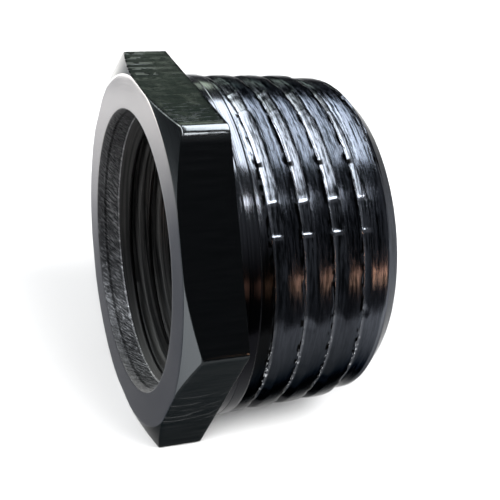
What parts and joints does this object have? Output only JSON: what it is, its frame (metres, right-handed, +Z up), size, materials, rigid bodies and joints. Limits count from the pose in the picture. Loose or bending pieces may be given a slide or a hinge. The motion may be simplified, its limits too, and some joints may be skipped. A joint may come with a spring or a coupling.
{
  "type": "reducer fitting",
  "caption": "Short hexagon reducing bush with a taper outside pipe thread and a smaller inside pipe thread tapped right through.",
  "frame": {"origin": "on the bore's axis, in the plane of the shoulder behind the hexagon head", "axes": "+X along the bore's axis from the head to the nose, +Z up with one flat of the head underneath"},
  "size_m": [0.0133, 0.0242, 0.021],
  "materials": {
    "bush": "bright black plating over turned steel"
  },
  "bodies": {
    "root": {"reducer_bush": "bush"}
  },
  "joints": []
}
